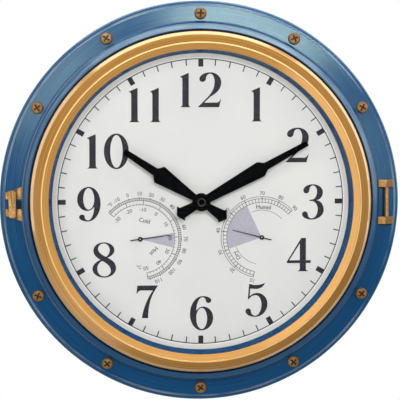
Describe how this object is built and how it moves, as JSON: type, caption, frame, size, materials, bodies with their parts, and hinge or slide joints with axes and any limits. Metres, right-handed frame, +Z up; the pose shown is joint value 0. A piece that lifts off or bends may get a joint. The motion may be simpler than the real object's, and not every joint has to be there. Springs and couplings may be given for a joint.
{
  "type": "outdoor wall clock",
  "caption": "Round outdoor wall clock with a painted frame, a metal bezel, two hands, and a thermometer and a hygrometer on the dial.",
  "frame": {"origin": "on the axis of the hands, in the plane of the wall that the clock hangs on", "axes": "+Z up, +X to the viewer's right, the dial looks along -Y and +Y points into the wall"},
  "size_m": [0.3556, 0.04, 0.3556],
  "materials": {
    "frame_paint": "blue paint, brushed round the frame and worn pale on its edges",
    "bezel_metal": "gold, satin",
    "trim_brass": "antique brass, satin",
    "lens_glass": "clear flat glass",
    "dial_face": "white, satin, printed",
    "hand_black": "black, semi-gloss paint",
    "black_plastic": "black, fine moulded grain",
    "white_plastic": "ivory, moulded",
    "black_rubber": "matt",
    "plain_steel": "zinc plated",
    "copper_wire": "enamelled winding",
    "green_board": "green solder mask",
    "battery_can": "plain dark sleeve"
  },
  "bodies": {
    "case": {"front_frame": "frame_paint", "bezel_ring": "bezel_metal", "bezel_gasket": "black_rubber", "lens": "lens_glass", "dial": "dial_face", "rear_housing": "black_plastic", "frame_gasket": "black_rubber", "door_seal": "black_rubber", "hanger_plate": "plain_steel", "frame_screw_01": "trim_brass", "frame_screw_02": "trim_brass", "frame_screw_03": "trim_brass", "frame_screw_04": "trim_brass", "frame_screw_05": "trim_brass", "frame_screw_06": "trim_brass", "frame_screw_07": "trim_brass", "frame_screw_08": "trim_brass", "frame_screw_09": "trim_brass", "frame_screw_10": "trim_brass", "keeper_plate_upper": "trim_brass", "keeper_plate_lower": "trim_brass", "keeper_bar": "trim_brass", "hinge_block_upper": "trim_brass", "hinge_block_lower": "trim_brass", "hinge_rod": "trim_brass", "movement_case_rear": "black_plastic", "movement_case_front": "black_plastic", "train_bridge": "plain_steel", "stator": "plain_steel", "coil_core": "plain_steel", "coil": "copper_wire", "circuit_board": "green_board", "quartz_crystal": "plain_steel", "dial_washer": "trim_brass", "dial_nut": "trim_brass", "battery": "battery_can", "battery_contact_positive": "plain_steel", "battery_contact_negative": "plain_steel", "thermometer_bracket": "plain_steel", "thermometer_coil": "trim_brass", "hygrometer_bracket": "plain_steel", "hygrometer_coil": "trim_brass"},
    "minute_group": {"minute_shaft": "plain_steel", "minute_hand": "hand_black", "hand_nut": "hand_black"},
    "hour_group": {"hour_wheel": "white_plastic", "hour_hand": "hand_black"},
    "motion_group": {"motion_wheel": "white_plastic"},
    "setting_group": {"setting_wheel": "white_plastic", "setting_knob": "white_plastic"},
    "rotor_group": {"rotor": "plain_steel"},
    "fifth_group": {"fifth_wheel": "white_plastic"},
    "second_group": {"second_wheel": "white_plastic"},
    "third_group": {"third_wheel": "white_plastic"},
    "centre_group": {"centre_wheel": "white_plastic"},
    "thermometer_group": {"thermometer_arbor": "trim_brass", "thermometer_pointer": "hand_black"},
    "hygrometer_group": {"hygrometer_arbor": "trim_brass", "hygrometer_pointer": "hand_black"},
    "door_group": {"battery_door": "black_plastic"}
  },
  "joints": [
    {"name": "minute_hand_turn", "type": "hinge", "parent": "case", "child": "minute_group", "pos_m": [0, 0, 0], "axis": [0, 1, 0], "continuous": true},
    {"name": "hour_hand_turn", "type": "hinge", "parent": "case", "child": "hour_group", "pos_m": [0, 0, 0], "axis": [0, 1, 0], "continuous": true},
    {"name": "motion_wheel_turn", "type": "hinge", "parent": "case", "child": "motion_group", "pos_m": [-0.01, 0, 0], "axis": [0, 1, 0], "continuous": true},
    {"name": "setting_knob_turn", "type": "hinge", "parent": "case", "child": "setting_group", "pos_m": [-0.0205, 0, 0], "axis": [0, 1, 0], "continuous": true},
    {"name": "rotor_turn", "type": "hinge", "parent": "case", "child": "rotor_group", "pos_m": [0.00636, 0, 0.01476], "axis": [0, 1, 0], "continuous": true},
    {"name": "fifth_wheel_turn", "type": "hinge", "parent": "case", "child": "fifth_group", "pos_m": [0.00636, 0, 0.00636], "axis": [0, 1, 0], "continuous": true},
    {"name": "second_wheel_turn", "type": "hinge", "parent": "case", "child": "second_group", "pos_m": [0, 0, 0], "axis": [0, 1, 0], "continuous": true},
    {"name": "third_wheel_turn", "type": "hinge", "parent": "case", "child": "third_group", "pos_m": [-0.00631, 0, 0.00631], "axis": [0, 1, 0], "continuous": true},
    {"name": "centre_wheel_turn", "type": "hinge", "parent": "case", "child": "centre_group", "pos_m": [0, 0, 0], "axis": [0, 1, 0], "continuous": true},
    {"name": "thermometer_turn", "type": "hinge", "parent": "case", "child": "thermometer_group", "pos_m": [-0.0538, 0, -0.033], "axis": [0, 1, 0], "range_deg": [-131.7, 86.5], "stiffness_Nm_per_rad": 0.0005},
    {"name": "hygrometer_turn", "type": "hinge", "parent": "case", "child": "hygrometer_group", "pos_m": [0.0542, 0, -0.032], "axis": [0, 1, 0], "range_deg": [-92.5, 124.2], "stiffness_Nm_per_rad": 0.0005},
    {"name": "battery_door_swing", "type": "hinge", "parent": "case", "child": "door_group", "pos_m": [0, -0.0033, 0.0322], "axis": [1, 0, 0], "range_deg": [0, 110]}
  ],
  "couplings": [
    {"joint": "hour_hand_turn", "follows": "minute_hand_turn", "ratio": 0.083333},
    {"joint": "motion_wheel_turn", "follows": "minute_hand_turn", "ratio": -0.33333},
    {"joint": "setting_knob_turn", "follows": "minute_hand_turn", "ratio": 0.83333},
    {"joint": "fifth_wheel_turn", "follows": "rotor_turn", "ratio": -0.16667},
    {"joint": "second_wheel_turn", "follows": "rotor_turn", "ratio": 0.033333},
    {"joint": "third_wheel_turn", "follows": "rotor_turn", "ratio": -0.0044444},
    {"joint": "centre_wheel_turn", "follows": "rotor_turn", "ratio": 0.00055556}
  ]
}
